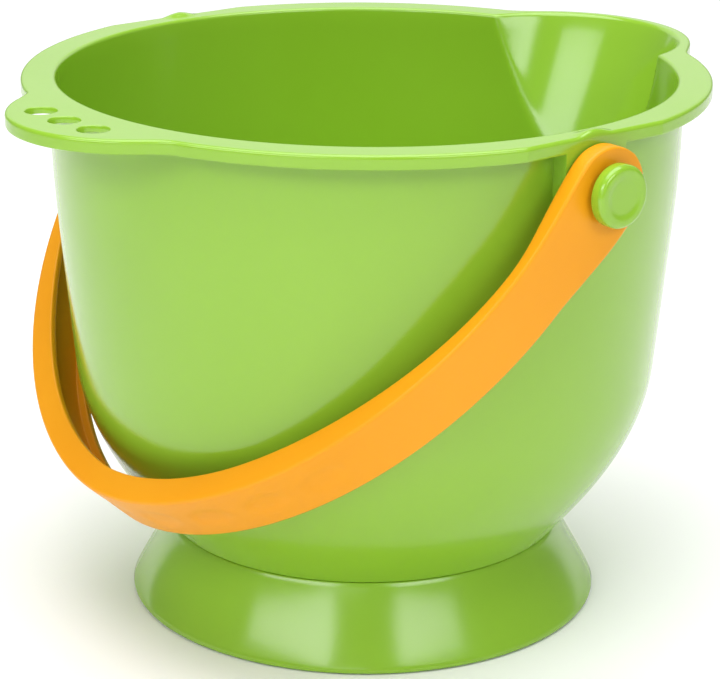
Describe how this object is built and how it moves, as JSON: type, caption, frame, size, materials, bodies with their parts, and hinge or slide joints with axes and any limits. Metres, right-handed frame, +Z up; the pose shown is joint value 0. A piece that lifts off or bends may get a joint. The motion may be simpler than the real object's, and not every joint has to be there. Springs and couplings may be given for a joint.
{
  "type": "sand bucket",
  "caption": "Toy sand bucket: round bowl with pouring spout, holed thumb tab, flared foot and a strap handle that swings on two snap rivets.",
  "frame": {"origin": "centre of the foot's base ring, on the surface the bucket stands on", "axes": "+X along the handle's pivot, +Y from the thumb tab to the spout, +Z up"},
  "size_m": [0.2168, 0.232, 0.1612],
  "materials": {
    "green_plastic": "glossy moulded polypropylene",
    "orange_plastic": "glossy moulded polypropylene"
  },
  "bodies": {
    "bucket": {"bucket_shell": "green_plastic", "foot": "green_plastic", "pivot_pin_right": "green_plastic", "pivot_pin_left": "green_plastic"},
    "handle": {"handle": "orange_plastic"}
  },
  "joints": [
    {"name": "handle_swing", "type": "hinge", "parent": "bucket", "child": "handle", "pos_m": [0, 0, 0.1452], "axis": [-1, 0, 0], "range_deg": [0, 273]}
  ]
}
